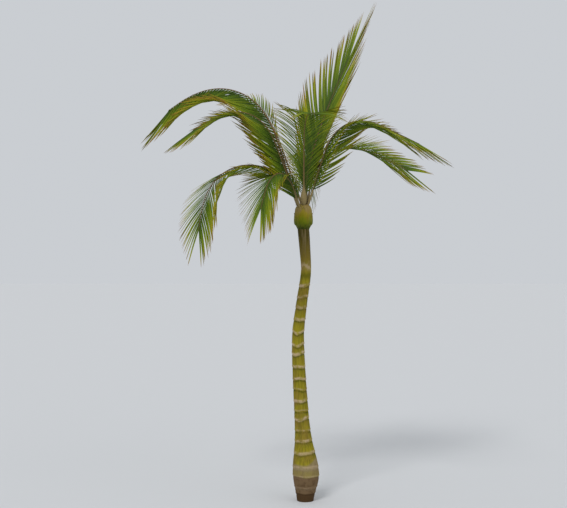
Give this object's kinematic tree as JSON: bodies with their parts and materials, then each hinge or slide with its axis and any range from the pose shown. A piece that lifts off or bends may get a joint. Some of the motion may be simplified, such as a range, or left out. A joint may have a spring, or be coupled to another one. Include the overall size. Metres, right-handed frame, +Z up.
{
  "type": "coconut palm tree",
  "caption": "Tall palm tree: a ringed, gently swaying trunk with a swollen foot, a green swelling of leaf sheaths on top and long arching feather fronds.",
  "frame": {"origin": "middle of the flat cut under the trunk, at ground level", "axes": "+Z up the trunk, -Y towards the side seen in front, +X to its right"},
  "size_m": [6.2736, 4.473, 10.2955],
  "materials": {
    "bark": "rough ringed bark",
    "sheath": "smooth fibrous leaf sheath",
    "frond": "satin leaf"
  },
  "bodies": {
    "root": {"trunk": "bark", "crownshaft": "sheath", "frond_upright": "frond", "frond_front_inner": "frond", "frond_front_outer": "frond", "frond_right_inner": "frond", "frond_right_outer": "frond", "frond_back_right_inner": "frond", "frond_back_right_outer": "frond", "frond_back_inner": "frond", "frond_back_outer": "frond", "frond_back_left_inner": "frond", "frond_back_left_outer": "frond", "frond_left_inner": "frond", "frond_left_outer": "frond", "frond_front_left_inner": "frond", "frond_front_left_outer": "frond", "frond_low_left_inner": "frond", "frond_low_left_outer": "frond", "frond_low_front_inner": "frond", "frond_low_front_outer": "frond"}
  },
  "joints": []
}
